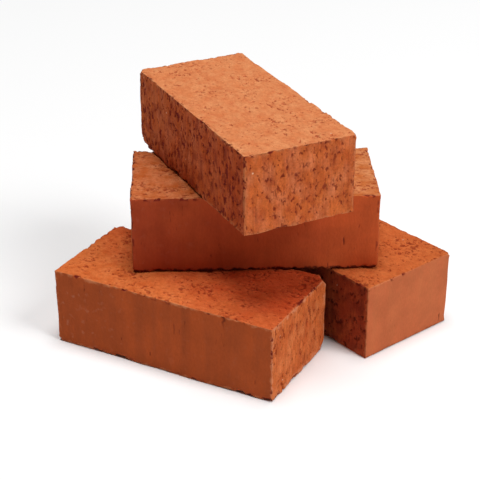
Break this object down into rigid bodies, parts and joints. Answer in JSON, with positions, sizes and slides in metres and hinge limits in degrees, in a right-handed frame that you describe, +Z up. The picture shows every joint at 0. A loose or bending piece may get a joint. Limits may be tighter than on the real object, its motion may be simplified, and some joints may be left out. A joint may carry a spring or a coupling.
{
  "type": "pile of clay bricks",
  "caption": "Loose pile of solid fired-clay building bricks: two on the ground, one bridging them and one laid crosswise on top.",
  "frame": {"origin": "on the ground under the middle of the pile's box", "axes": "+Z up; +X along the long side of the middle brick, to the right; the pile's front looks along -Y"},
  "size_m": [0.3742, 0.3173, 0.228],
  "materials": {
    "left_base_clay": "matt fired clay, red-brown die-skin sides and orange wire-cut beds",
    "right_base_clay": "matt fired clay, pinkish-orange die-skin end and rough drag-marked side",
    "middle_clay": "matt fired clay, dark red die-skin side and orange wire-cut beds",
    "top_clay": "matt fired clay, drag-marked sides with dark upright pits and light orange wire-cut beds"
  },
  "bodies": {
    "left_base": {"left_base_brick": "left_base_clay"},
    "right_base": {"right_base_brick": "right_base_clay"},
    "middle": {"middle_brick": "middle_clay"},
    "top": {"top_brick": "top_clay"}
  },
  "joints": [
    {"name": "right_base_slide", "type": "slide", "parent": "left_base", "child": "right_base", "axis": [0.6157, -0.788, 0], "range_m": [-0.16, 0.18]},
    {"name": "middle_brick_lift", "type": "slide", "parent": "left_base", "child": "middle", "axis": [0, 0, 1], "range_m": [0, 0.1]},
    {"name": "top_brick_lift", "type": "slide", "parent": "middle", "child": "top", "axis": [0, 0, 1], "range_m": [0, 0.1]}
  ]
}
